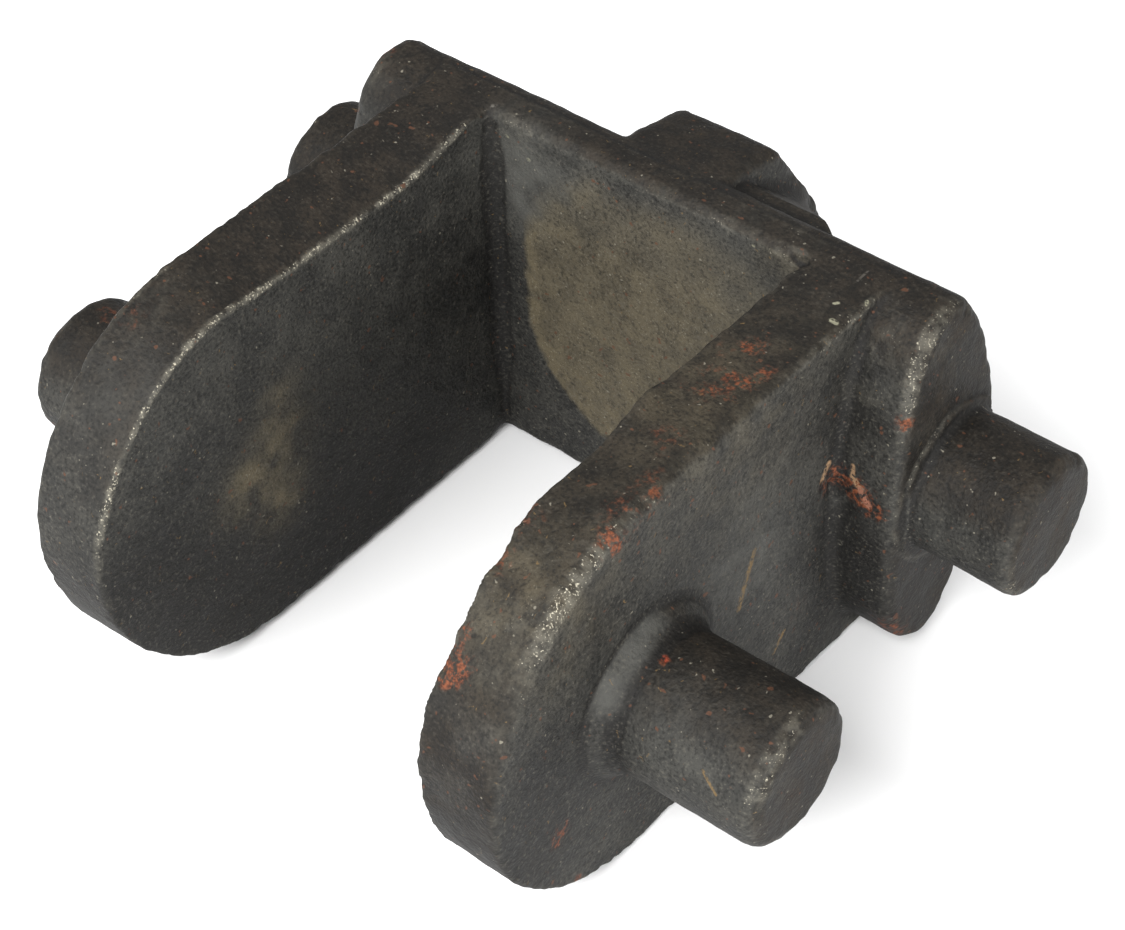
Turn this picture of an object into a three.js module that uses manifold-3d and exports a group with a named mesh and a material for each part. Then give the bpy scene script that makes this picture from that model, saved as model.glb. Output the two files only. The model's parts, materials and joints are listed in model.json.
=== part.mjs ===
// A cast iron yoke from a conduit bender: two round-nosed cheeks stand side by side on a cross bar of
// oval section, each cheek and each end of the bar carries an integral trunnion pin, and a lug stands out
// of the bar's back. The real piece is one casting. Each mesh here is one region of it, and a narrow
// parting keeps neighbouring regions apart.
//
// Millimetres, +Z up. X runs along the pins, -Y is the open front between the cheeks, +Y is the lug's side.
// The origin is under the middle of the bounding box, on the level that the casting stands on.

import * as THREE from 'three';
import { mergeVertices } from 'three/addons/utils/BufferGeometryUtils.js';
import Module from 'manifold-3d';

// ---- driving dimensions ----
const PARTING = 0.3;              // gap kept between neighbouring regions

const GAP_WIDTH = 50.8;           // clear width between the cheeks' inner faces
const CHEEK_THICKNESS = 11.3;
const HEIGHT = 57.8;              // cheeks and bar are equally tall and stand on the same level
const EDGE = 1.2;                 // rounding of the cast edges

const PIN_RADIUS = 9.9;
const PIN_SPACING = 51.0;         // front pin axis to rear pin axis, along Y
const REAR_PIN_RISE = 0.4;        // the rear pins sit this much above mid height
const FRONT_PIN_DROP = 2.2;       // the front pins sit this much lower than the rear pins
const FRONT_PIN_END = 59.7;       // half the width over the front pins' end faces
const REAR_PIN_END = 61.6;        // half the width over the rear pins' end faces
const FRONT_ROOT_FILLET = 3.0;
const REAR_ROOT_FILLET = 1.2;
const PIN_RIM = 1.8;              // rounding around the pins' end faces

const BAR_HALF_LENGTH = 46.0;
const BAR_DEPTH = 23.4;           // front to back, over the bar's ends
const BAR_FACE_SETBACK = 4.6;     // flat inner face of the bar, ahead of the rear pin axis
const BAR_OFFSET = -0.7;          // middle of the bar's oval section, from the rear pin axis

const LUG_HALF_WIDTH = 8.5;
const LUG_TOP = 55.3;
const LUG_ROOT_START = 2.0;       // the lug's region begins this far behind the rear pin axis
const LUG_SHOULDER = 12.5;        // where the flat top ends, behind the rear pin axis
const LUG_HEEL = 22.5;            // where the sloping back turns down
const LUG_HEEL_HEIGHT = 42.0;
const LUG_REACH = 26.4;           // rearmost point, behind the rear pin axis
const LUG_FLARE_HALF_WIDTH = 22.0;
const LUG_FLARE_REACH = 17.0;
const LUG_FLARE_DROP = 3.0;       // the flare's top lies this much lower than the lug's top
const LUG_FLARE_BULGE = 2.0;      // how far the flare's back stands out at mid height

const ARC_STEPS = 40;             // facets around a pin, and along a quarter of a drawn curve
const FILLET_STEPS = 4;
const OVERCUT = 1.0;              // how far a cutting block passes beyond what it cuts
const WELD_DISTANCE = 1e-4;       // corners closer than this are one corner

// ---- derived places ----
const INNER_X = GAP_WIDTH / 2;
const OUTER_X = INNER_X + CHEEK_THICKNESS;
const NOSE_RADIUS = HEIGHT / 2;
const REAR_AXIS_Y = (PIN_SPACING + NOSE_RADIUS - LUG_REACH) / 2;   // centres the bounding box on Y = 0
const FRONT_AXIS_Y = REAR_AXIS_Y - PIN_SPACING;
const REAR_AXIS_Z = HEIGHT / 2 + REAR_PIN_RISE;
const FRONT_AXIS_Z = REAR_AXIS_Z - FRONT_PIN_DROP;
const BAR_FACE_Y = REAR_AXIS_Y - BAR_FACE_SETBACK;

const castIron = { roughness: 0.72, metalness: 0.55 };
const finishes = {
  bar: new THREE.MeshStandardMaterial({ color: 0x3a3733, ...castIron }),
  cheek: new THREE.MeshStandardMaterial({ color: 0x3c3b38, ...castIron }),
  pin: new THREE.MeshStandardMaterial({ color: 0x444340, roughness: 0.62, metalness: 0.6 }),
  lug: new THREE.MeshStandardMaterial({ color: 0x393530, ...castIron }),
};

// ---- joining and cutting ----
const wasm = await Module();
wasm.setup();

function toSolid(geometry) {
  const bare = geometry.clone();
  bare.deleteAttribute('normal');
  bare.deleteAttribute('uv');
  const merged = mergeVertices(bare, WELD_DISTANCE);
  return new wasm.Manifold(new wasm.Mesh({
    numProp: 3,
    vertProperties: new Float32Array(merged.attributes.position.array),
    triVerts: new Uint32Array(merged.index.array),
  }));
}

function toGeometry(solid) {
  const mesh = solid.getMesh();
  const geometry = new THREE.BufferGeometry();
  geometry.setAttribute('position', new THREE.BufferAttribute(mesh.vertProperties, 3));
  geometry.setIndex(new THREE.BufferAttribute(mesh.triVerts, 1));
  geometry.computeVertexNormals();
  return geometry;
}

// Turns a shape drawn in (Y, Z) into a slab between x0 and x1. A bevel rounds the edges of both faces.
function slabAcrossX(shape, x0, x1, bevel = 0) {
  const geometry = new THREE.ExtrudeGeometry(shape, {
    depth: x1 - x0 - 2 * bevel,
    bevelEnabled: bevel > 0,
    bevelThickness: bevel,
    bevelSize: bevel,
    bevelOffset: -bevel,
    bevelSegments: FILLET_STEPS,
    curveSegments: ARC_STEPS,
    steps: 1,
  });
  geometry.translate(0, 0, x0 + bevel);
  const drawnToObject = new THREE.Matrix4().set(0, 0, 1, 0, 1, 0, 0, 0, 0, 1, 0, 0, 0, 0, 0, 1);
  return geometry.applyMatrix4(drawnToObject);
}

function block(x0, x1, y0, y1, z0, z1) {
  const geometry = new THREE.BoxGeometry(x1 - x0, y1 - y0, z1 - z0);
  return geometry.translate((x0 + x1) / 2, (y0 + y1) / 2, (z0 + z1) / 2);
}

// ---- cross bar ----
// Oval section over its whole length. Between the stub ends its front is cut back to a flat, upright
// face, which runs up to a flat top and down to a flat sole as tall as the cheeks.
function ovalSection(margin) {
  const shape = new THREE.Shape();
  const middleY = REAR_AXIS_Y + BAR_OFFSET;
  const halfDepth = BAR_DEPTH / 2 + margin;
  const halfHeight = HEIGHT / 2 + margin;
  shape.absellipse(middleY, HEIGHT / 2, halfDepth, halfHeight, 0, 2 * Math.PI, false, 0);
  return shape;
}

function crossBar() {
  const oval = toSolid(slabAcrossX(ovalSection(0), -BAR_HALF_LENGTH, BAR_HALF_LENGTH, EDGE));
  const frontReach = REAR_AXIS_Y - BAR_DEPTH;
  const slotHalfWidth = OUTER_X + PARTING;
  const slot = toSolid(block(
    -slotHalfWidth, slotHalfWidth, frontReach, BAR_FACE_Y, -OVERCUT, HEIGHT + OVERCUT));
  const wall = toSolid(block(-OUTER_X, OUTER_X, BAR_FACE_Y, REAR_AXIS_Y, 0, HEIGHT));
  return toGeometry(oval.subtract(slot).add(wall));
}

// ---- cheeks ----
// A straight-edged plate with a fully round nose about the front pin. Its back end butts on the bar.
function cheek(side) {
  const reach = BAR_FACE_Y + EDGE + OVERCUT;
  const shape = new THREE.Shape();
  shape.moveTo(reach, HEIGHT);
  shape.lineTo(FRONT_AXIS_Y, HEIGHT);
  shape.absarc(FRONT_AXIS_Y, NOSE_RADIUS, NOSE_RADIUS, Math.PI / 2, 1.5 * Math.PI, false);
  shape.lineTo(reach, 0);
  shape.closePath();
  const x0 = side > 0 ? INNER_X : -OUTER_X;
  const plate = toSolid(slabAcrossX(shape, x0, x0 + CHEEK_THICKNESS, EDGE));
  const behind = toSolid(block(
    -BAR_HALF_LENGTH, BAR_HALF_LENGTH, BAR_FACE_Y - PARTING, REAR_AXIS_Y, -OVERCUT, HEIGHT + OVERCUT));
  return toGeometry(plate.subtract(behind));
}

// ---- pins ----
// Profile of a trunnion pin from its root fillet to the rounded rim of its end face, spun about its axis.
function pinGeometry(length, rootFillet) {
  const profile = [new THREE.Vector2(0, 0)];
  for (let i = 0; i <= FILLET_STEPS; i++) {
    const turn = (i / FILLET_STEPS) * (Math.PI / 2);
    profile.push(new THREE.Vector2(
      PIN_RADIUS + rootFillet * (1 - Math.sin(turn)),
      rootFillet * (1 - Math.cos(turn)),
    ));
  }
  for (let i = 0; i <= FILLET_STEPS; i++) {
    const turn = (i / FILLET_STEPS) * (Math.PI / 2);
    profile.push(new THREE.Vector2(
      PIN_RADIUS - PIN_RIM * (1 - Math.cos(turn)),
      length - PIN_RIM * (1 - Math.sin(turn)),
    ));
  }
  profile.push(new THREE.Vector2(0, length));
  return new THREE.LatheGeometry(profile, ARC_STEPS);
}

// ---- rear lug ----
// A narrow web with a flat top and a sloping back, on a wider root that flares into the bar.
function lugOutline(shoulder, heel, reach, top) {
  const heelDrop = HEIGHT - LUG_HEEL_HEIGHT;
  const shape = new THREE.Shape();
  shape.moveTo(REAR_AXIS_Y, top);
  shape.lineTo(REAR_AXIS_Y + shoulder, top);
  shape.lineTo(REAR_AXIS_Y + heel, LUG_HEEL_HEIGHT);
  shape.quadraticCurveTo(REAR_AXIS_Y + 2 * reach - heel, HEIGHT / 2, REAR_AXIS_Y + heel, heelDrop);
  shape.lineTo(REAR_AXIS_Y + shoulder, HEIGHT - top);
  shape.lineTo(REAR_AXIS_Y, HEIGHT - top);
  shape.closePath();
  return shape;
}

function rearLug() {
  const web = toSolid(slabAcrossX(
    lugOutline(LUG_SHOULDER, LUG_HEEL, LUG_REACH, LUG_TOP), -LUG_HALF_WIDTH, LUG_HALF_WIDTH, EDGE));
  const flare = new THREE.Shape();
  flare.moveTo(-LUG_FLARE_HALF_WIDTH, REAR_AXIS_Y);
  flare.lineTo(LUG_FLARE_HALF_WIDTH, REAR_AXIS_Y);
  flare.lineTo(LUG_FLARE_HALF_WIDTH, REAR_AXIS_Y + LUG_SHOULDER / 2);
  flare.lineTo(LUG_HALF_WIDTH, REAR_AXIS_Y + LUG_FLARE_REACH);
  flare.lineTo(-LUG_HALF_WIDTH, REAR_AXIS_Y + LUG_FLARE_REACH);
  flare.lineTo(-LUG_FLARE_HALF_WIDTH, REAR_AXIS_Y + LUG_SHOULDER / 2);
  flare.closePath();
  const rootBlock = toSolid(new THREE.ExtrudeGeometry(flare, { depth: HEIGHT, bevelEnabled: false }));
  const rootProfile = toSolid(slabAcrossX(
    lugOutline(
      LUG_SHOULDER / 2, LUG_FLARE_REACH, LUG_FLARE_REACH + LUG_FLARE_BULGE, LUG_TOP - LUG_FLARE_DROP),
    -LUG_FLARE_HALF_WIDTH, LUG_FLARE_HALF_WIDTH, 0));
  const bar = toSolid(slabAcrossX(ovalSection(PARTING), -BAR_HALF_LENGTH, BAR_HALF_LENGTH, 0));
  const front = toSolid(block(
    -BAR_HALF_LENGTH, BAR_HALF_LENGTH, BAR_FACE_Y, REAR_AXIS_Y + LUG_ROOT_START, -OVERCUT, HEIGHT + OVERCUT));
  const root = rootBlock.intersect(rootProfile);
  return toGeometry(web.add(root).subtract(bar).subtract(front));
}

// ---- assembly ----
const group = new THREE.Group();

function place(name, geometry, finish, parent = group) {
  const mesh = new THREE.Mesh(geometry, finish);
  mesh.name = name;
  parent.add(mesh);
  return mesh;
}

place('cross_bar', crossBar(), finishes.bar);
place('rear_lug', rearLug(), finishes.lug);

for (const [sideName, side] of [['left', -1], ['right', 1]]) {
  place(`${sideName}_cheek`, cheek(side), finishes.cheek);

  const frontRoot = OUTER_X + PARTING;
  const frontPin = place(
    `front_pin_${sideName}`, pinGeometry(FRONT_PIN_END - frontRoot, FRONT_ROOT_FILLET), finishes.pin);
  frontPin.position.set(side * frontRoot, FRONT_AXIS_Y, FRONT_AXIS_Z);
  frontPin.rotation.z = -side * Math.PI / 2;

  const rearRoot = BAR_HALF_LENGTH + PARTING;
  const rearPin = place(
    `rear_pin_${sideName}`, pinGeometry(REAR_PIN_END - rearRoot, REAR_ROOT_FILLET), finishes.pin);
  rearPin.position.set(side * rearRoot, REAR_AXIS_Y, REAR_AXIS_Z);
  rearPin.rotation.z = -side * Math.PI / 2;
}

export default group;
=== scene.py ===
import json
import math

import bpy
import numpy as np
from mathutils import Matrix, Vector


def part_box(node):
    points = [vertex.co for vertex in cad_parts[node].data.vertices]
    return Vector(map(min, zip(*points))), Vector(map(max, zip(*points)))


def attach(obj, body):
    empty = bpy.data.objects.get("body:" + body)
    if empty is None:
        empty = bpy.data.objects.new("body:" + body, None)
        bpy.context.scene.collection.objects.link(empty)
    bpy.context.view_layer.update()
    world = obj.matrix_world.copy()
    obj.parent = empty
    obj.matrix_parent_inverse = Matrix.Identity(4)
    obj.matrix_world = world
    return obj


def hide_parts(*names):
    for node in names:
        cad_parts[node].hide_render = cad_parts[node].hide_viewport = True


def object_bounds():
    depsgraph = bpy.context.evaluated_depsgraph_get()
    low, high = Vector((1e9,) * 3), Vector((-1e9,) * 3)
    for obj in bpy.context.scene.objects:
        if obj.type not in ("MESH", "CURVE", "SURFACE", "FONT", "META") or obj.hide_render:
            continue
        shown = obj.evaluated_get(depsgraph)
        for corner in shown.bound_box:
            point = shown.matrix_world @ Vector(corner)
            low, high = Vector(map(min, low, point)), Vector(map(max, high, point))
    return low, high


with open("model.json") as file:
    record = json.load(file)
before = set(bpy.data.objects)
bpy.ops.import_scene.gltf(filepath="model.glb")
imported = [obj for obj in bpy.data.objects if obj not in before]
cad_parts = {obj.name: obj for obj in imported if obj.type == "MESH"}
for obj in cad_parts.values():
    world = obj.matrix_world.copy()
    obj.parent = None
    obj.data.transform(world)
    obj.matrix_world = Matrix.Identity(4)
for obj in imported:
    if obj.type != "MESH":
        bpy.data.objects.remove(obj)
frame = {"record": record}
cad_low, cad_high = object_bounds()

# A rough cast iron yoke. The whole casting is described by one signed distance, in millimetres, that is
# negative inside the metal. A mesh is laid on its surface, roughened as cast iron is, and parted into one
# closed piece for each region of the CAD model, so that fillets run on from piece to piece without a seam.

MM = 0.001
CELL = 0.42           # spacing of the surface mesh
COARSE = 4                              # coarse cells, this many fine ones wide, find where the surface is

# ------------------------------------ sizes in millimetres, from the frame where it has them


def box_mm(node):
    low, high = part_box(node)
    return np.array(low) / MM, np.array(high) / MM


cheek_low, cheek_high = box_mm("right_cheek")
bar_low, bar_high = box_mm("cross_bar")
_lug_low, lug_high = box_mm("rear_lug")
front_pin_low, front_pin_high = box_mm("front_pin_right")
rear_pin_low, rear_pin_high = box_mm("rear_pin_right")

PARTING = 0.3                           # between the CAD model's nodes
INNER_X, OUTER_X = cheek_low[0], cheek_high[0]
HEIGHT = cheek_high[2]
MIDDLE_Z = HEIGHT / 2
NOSE_R = HEIGHT / 2
NOSE_Y = cheek_low[1] + NOSE_R
FACE_Y = cheek_high[1] + PARTING        # flat inner face of the bar

BAR_Y = (bar_low[1] + bar_high[1]) / 2
BAR_END = bar_high[0]
CORNER_Y = 14.7                         # front of the bar's stub ends, beside the cheeks

FRONT_Y, FRONT_Z = (front_pin_low[1:] + front_pin_high[1:]) / 2
REAR_Y, REAR_Z = (rear_pin_low[1:] + rear_pin_high[1:]) / 2
PIN_R = 9.9
FRONT_PIN_END = front_pin_high[0]
REAR_PIN_END = rear_pin_high[0]

COLLAR_R = PIN_R + 2.7                  # the front pins' collars, where they meet the cheek
BOSS_R = PIN_R + 1.7                    # the rear pins' bosses on the bar's ends

LUG_HALF = 8.5
LUG_BACK = lug_high[1]

# ---------------------------------------------------------------- signed distances


def round_max(a, b, r):
    """Intersection with its edge rounded to radius r."""
    return np.minimum(np.maximum(a, b), -r) + np.hypot(np.maximum(a + r, 0), np.maximum(b + r, 0))


def soft_min(a, b, k):
    """Union that blends over k, with next to no swelling where two faces are in one plane."""
    h = np.clip(0.5 + 0.5 * (b - a) / k, 0, 1)
    return b + (a - b) * h - k * h * (1 - h)


def round_min(a, b, r):
    """Union with a fillet of radius r in its corner."""
    return np.maximum(np.minimum(a, b), r) - np.hypot(np.maximum(r - a, 0), np.maximum(r - b, 0))


def smooth_step(low, high, v):
    """0 at low, 1 at high, smooth between. High may be below low."""
    t = np.clip((v - low) / (high - low), 0, 1)
    return t * t * (3 - 2 * t)


def ball(x, y, z, centre, radii):
    """An ellipsoid, roughly: exact enough for a pit or a lump."""
    rx, ry, rz = radii
    q = np.sqrt(((x - centre[0]) / rx) ** 2 + ((y - centre[1]) / ry) ** 2 + ((z - centre[2]) / rz) ** 2)
    return (q - 1) * min(radii)


def lattice(ix, iy, iz, seed):
    """A fixed random value from -1 to 1 for each whole-number point."""
    h = ix * np.uint32(374761393) + iy * np.uint32(668265263) + iz * np.uint32(2246822519)
    h = h + np.uint32(seed * 3266489917 & 0xFFFFFFFF)
    h = (h ^ (h >> np.uint32(13))) * np.uint32(1274126177)
    h = h ^ (h >> np.uint32(16))
    return (h & np.uint32(0xFFFF)).astype(np.float32) / 32767.5 - 1


def noise(x, y, z, size, seed):
    """Smooth random values from -1 to 1 that change over about size millimetres."""
    cells, parts = [], []
    for v in (x, y, z):
        v = v / size + 1000.5
        whole = np.floor(v)
        part = (v - whole).astype(np.float32)
        cells.append(whole.astype(np.uint32))
        parts.append(part * part * (3 - 2 * part))
    value = 0
    for dx in (0, 1):
        wx = parts[0] if dx else 1 - parts[0]
        for dy in (0, 1):
            wy = parts[1] if dy else 1 - parts[1]
            for dz in (0, 1):
                wz = parts[2] if dz else 1 - parts[2]
                corner = [c + np.uint32(d) for c, d in zip(cells, (dx, dy, dz))]
                value = value + wx * wy * wz * lattice(*corner, seed)
    return value


class Outline:
    """Signed distance to a closed outline in the side view, worked out once as a table."""
    STEP = 0.25
    MARGIN = 40.0
    SPLINE_STEPS = 6

    def __init__(self, points):
        """points: (y, z) from the rear pins' axis, round the outline."""
        ring = self.spline(np.array(points, float) + (REAR_Y, REAR_Z), self.SPLINE_STEPS)
        self.low = ring.min(0) - self.MARGIN
        self.count = np.ceil((ring.max(0) + self.MARGIN - self.low) / self.STEP).astype(int) + 1
        y = (self.low[0] + np.arange(self.count[0]) * self.STEP)[:, None]
        z = (self.low[1] + np.arange(self.count[1]) * self.STEP)[None, :]
        nearest = np.full(self.count, 1e9)
        inside = np.zeros(self.count, bool)
        for (ay, az), (by, bz) in zip(ring, np.roll(ring, -1, axis=0)):
            dy, dz = by - ay, bz - az
            along = np.clip(((y - ay) * dy + (z - az) * dz) / (dy * dy + dz * dz), 0, 1)
            nearest = np.minimum(nearest, np.hypot(y - ay - along * dy, z - az - along * dz))
            if az != bz:
                inside ^= ((az > z) != (bz > z)) & (y < (z - az) * dy / dz + ay)
        self.table = np.where(inside, -nearest, nearest)

    @staticmethod
    def spline(ring, steps):
        """A smooth curve through the points."""
        a, b, c, d = (np.roll(ring, k, axis=0)[:, None, :] for k in (1, 0, -1, -2))
        t = (np.arange(steps) / steps)[None, :, None]
        curve = b + 0.5 * t * (c - a + t * (2 * a - 5 * b + 4 * c - d + t * (3 * (b - c) + d - a)))
        return curve.reshape(-1, 2)

    def __call__(self, y, z):
        v = np.clip((y - self.low[0]) / self.STEP, 0, self.count[0] - 1.001)
        w = np.clip((z - self.low[1]) / self.STEP, 0, self.count[1] - 1.001)
        i, j = v.astype(int), w.astype(int)
        v, w = v - i, w - j
        t = self.table
        near_row = (1 - w) * t[i, j] + w * t[i, j + 1]
        far_row = (1 - w) * t[i + 1, j] + w * t[i + 1, j + 1]
        return (1 - v) * near_row + v * far_row


# The bar's section at its stub ends, and between the cheeks, where its top is flat: (y, z) from the rear
# pins' axis, in millimetres.
BAR_BACK = [
    (1.0, 28.4), (2.7, 27.2), (4.1, 25.2), (6.3, 21.3), (8.2, 16.5), (9.5, 12.0), (10.7, 5.0),
    (10.8, -3.0), (9.9, -10.5), (8.1, -17.5), (5.8, -23.2), (3.0, -27.6), (0.6, -29.0),
    (-1.6, -29.3),
]
STUB_FRONT = [
    (-4.0, -27.9), (-6.8, -25.2), (-9.4, -21.0), (-10.9, -16.5), (-11.7, -10.5), (-12.1, -3.5),
    (-12.1, 4.0), (-11.4, 11.5), (-10.5, 18.0), (-8.9, 23.2), (-6.6, 26.5), (-3.6, 28.3), (-1.0, 28.6),
]
MIDDLE_FRONT = [
    (-6.0, -29.3), (-9.0, -29.2), (-11.2, -28.2), (-12.0, -25.0), (-12.0, -12.0), (-12.0, 12.0),
    (-12.0, 24.5), (-11.2, 27.5), (-9.0, 28.4), (-5.0, 28.5), (-1.0, 28.6),
]
stub_outline = Outline(BAR_BACK + STUB_FRONT)
middle_outline = Outline(BAR_BACK + MIDDLE_FRONT)

# The lug seen from the side.
lug_outline = Outline([
    (4.0, 27.8), (8.5, 27.1), (12.2, 26.4), (14.3, 25.6), (15.9, 23.6), (17.9, 20.6), (20.0, 17.4),
    (22.1, 14.1), (24.1, 10.7), (25.6, 6.2), (26.4, 0.0), (25.4, -6.2), (23.6, -10.6), (21.6, -13.9),
    (19.3, -17.2), (17.2, -20.3), (15.2, -23.2), (13.6, -25.2), (11.8, -26.3), (8.5, -27.2), (4.0, -28.2),
    (1.0, -28.6), (0.0, -27.0), (0.0, -14.0), (0.0, 14.0), (0.0, 26.0), (1.0, 28.0),
])


def cheek_profile(x, y, z):
    """Distance to the cheeks' outline in side view. The two cheeks differ a little, as cast."""
    left = x < 0
    nose_y = np.where(left, NOSE_Y - 0.85, NOSE_Y + 0.75)
    along = np.clip(y, nose_y, BAR_Y)
    lower = smooth_step(0.2, -0.8, (z - MIDDLE_Z) / NOSE_R)
    nose_r = NOSE_R + np.where(left, 0.3 - 0.5 * lower, 0.75 * lower)
    distance = np.hypot(y - along, z - MIDDLE_Z) - nose_r
    # the top edge is worn down towards the gap
    inward = np.clip((OUTER_X - np.abs(x)) / (OUTER_X - INNER_X), 0, 1)
    upper = smooth_step(0.1, 0.75, (z - MIDDLE_Z) / nose_r)
    left_loss = 2.6 * smooth_step(20, 4, y) * (0.45 + 0.55 * smooth_step(NOSE_Y - 12, NOSE_Y + 6, y))
    right_loss = 1.7 * smooth_step(-12, -22, y)
    loss = np.where(left, left_loss, right_loss) * upper * inward ** 1.3
    return distance + loss


def cheeks(x, y, z):
    """Both cheeks and all between them, which the gap is then cut from."""
    slab = np.abs(x) - OUTER_X
    upper = smooth_step(MIDDLE_Z - 4, MIDDLE_Z + 16, z)
    rounding = np.where(x < 0, 0.7 + 0.3 * upper, 0.6 + 1.7 * upper * smooth_step(8, -16, y))
    return np.maximum(round_max(cheek_profile(x, y, z), slab, rounding), y - BAR_Y)


def cross_bar(x, y, z):
    """The bar across the back, with slightly domed ends."""
    share = smooth_step(OUTER_X - 6, OUTER_X - 1, np.abs(x))
    section = stub_outline(y, z) * share + middle_outline(y, z) * (1 - share)
    centre_y, centre_z = REAR_Y - 0.4, REAR_Z
    dome = 0.0011 * ((y - centre_y) ** 2 + (z - centre_z) ** 2) - 0.3
    end = np.abs(x) + dome - np.where(x < 0, BAR_END + 1.0, BAR_END)
    return round_max(section, end, np.where(x < 0, 2.8, 1.9))


def gap(x, y, z):
    """The space between the cheeks, with a radius in its two back corners."""
    lean = (z - MIDDLE_Z) * 0.018
    corner = 0.4 + 2.0 * smooth_step(0, 18, z) * (0.25 + 0.75 * smooth_step(HEIGHT + 1, HEIGHT - 9, z))
    return round_max(np.abs(x) - INNER_X, y - FACE_Y - 0.2 + lean, corner)


def pin(x, y, z, axis_y, axis_z, root, end, rim):
    """A pair of pins, one on each side, from root to end along X."""
    barrel = np.hypot(y - axis_y, z - axis_z) - PIN_R
    return np.maximum(round_max(barrel, np.abs(x) - end, rim), root - np.abs(x))


def front_collar(x, y, z):
    """A flared collar at the root of each front pin."""
    away = np.hypot(y - FRONT_Y, z - FRONT_Z)
    flare = 0.72 * (away - COLLAR_R) + 0.69 * (np.abs(x) - OUTER_X)
    return np.maximum(flare, INNER_X + 4.5 - np.abs(x))


def rear_boss(x, y, z):
    """A thin boss on the bar's end, round the root of each rear pin."""
    away = np.hypot(y - REAR_Y, z - REAR_Z)
    boss = round_max(away - BOSS_R, np.abs(x) - BAR_END - 0.6 - 0.4 * (x < 0), 0.25)
    return np.maximum(np.maximum(boss, stub_outline(y, z) + 2.0), OUTER_X + 3 - np.abs(x))


def lug_web(x, y, z):
    """The lug itself, a little wider and rounder on the left."""
    side = np.abs(x) - np.where(x < 0, LUG_HALF + 0.6, LUG_HALF)
    return round_max(lug_outline(y, z), side, np.where(x < 0, 2.6, 1.5))


def lug_root(x, y, z):
    """The wider root that flares from the lug into the bar's back, wider on the right than on the left."""
    height = np.abs(z - REAR_Z)
    flank = 0.73 * np.abs(x) + 0.68 * (y - REAR_Y) - np.where(x > 0, 20.3, 15.5)
    crest = 0.65 * (y - REAR_Y) + 0.76 * height - np.where(x > 0, 23.7, 19.5)
    wedge = np.maximum(round_max(flank, crest, 1.2), height - 25.8)
    return np.maximum(wedge, np.abs(y - REAR_Y - 11.5) - 10)


# Casting flaws: the middle and the radii of each.
PITS = (
    ((OUTER_X + 1.0, 14.1, 31.4), (1.5, 1.0, 2.2)),
    ((OUTER_X + 2.0, 14.2, 28.6), (1.4, 0.9, 3.2)),
    ((INNER_X - 0.6, FACE_Y - 0.2, HEIGHT - 0.1), (1.5, 0.9, 1.3)),
    ((LUG_HALF + 0.6, REAR_Y + 20.5, REAR_Z + 11.2), (0.6, 1.8, 2.2)),
)


def casting(x, y, z):
    """Signed distance to the whole yoke."""
    upright = np.abs(z - MIDDLE_Z)
    stub_fillet = 0.02 + 1.7 * smooth_step(HEIGHT / 2 - 1, HEIGHT / 2 - 6, upright)
    plates, bar = cheeks(x, y, z), cross_bar(x, y, z)
    body = np.minimum(round_min(plates, bar, stub_fillet), soft_min(plates, bar, 0.8))
    body = round_min(body, front_collar(x, y, z), 0.4)
    body = round_min(body, pin(x, y, z, FRONT_Y, FRONT_Z, INNER_X + 4.5, FRONT_PIN_END, 2.2), 0.9)
    body = round_min(body, rear_boss(x, y, z), 0.2)
    body = round_min(body, pin(x, y, z, REAR_Y, REAR_Z, OUTER_X + 3, REAR_PIN_END, 1.8), 0.9)
    body = round_min(body, lug_root(x, y, z), 0.8)
    body = soft_min(body, lug_web(x, y, z), 0.5 + 2.1 * smooth_step(24, 18, np.abs(z - REAR_Z)))
    body = round_max(body, -gap(x, y, z), 0.4 + 1.3 * smooth_step(4, 0.5, np.abs(y - FACE_Y)))
    for centre, radii in PITS:
        body = round_max(body, -ball(x, y, z, centre, radii), 0.5)
    return body


# ---------------------------------------------------------------- surface mesh


def fine_field(low, counts):
    """The distance on the fine grid, worked out only where a coarse grid says that the surface is near."""
    blocks = counts // COARSE
    step = CELL * COARSE
    centres = [low[i] + (np.arange(blocks[i]) + 0.5) * step - CELL / 2 for i in range(3)]
    rough = casting(*np.meshgrid(*centres, indexing="ij"))
    field = np.where(rough < 0, np.float32(-9), np.float32(9))
    for axis in range(3):
        field = np.repeat(field, COARSE, axis=axis)
    close = np.argwhere(np.abs(rough) < step * 1.1)
    offsets = np.stack(np.meshgrid(*[np.arange(COARSE)] * 3, indexing="ij"), -1).reshape(-1, 3)
    index = (close[:, None, :] * COARSE + offsets[None]).reshape(-1, 3)
    points = low + index * CELL
    field[tuple(index.T)] = casting(*points.T)
    return field


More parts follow.
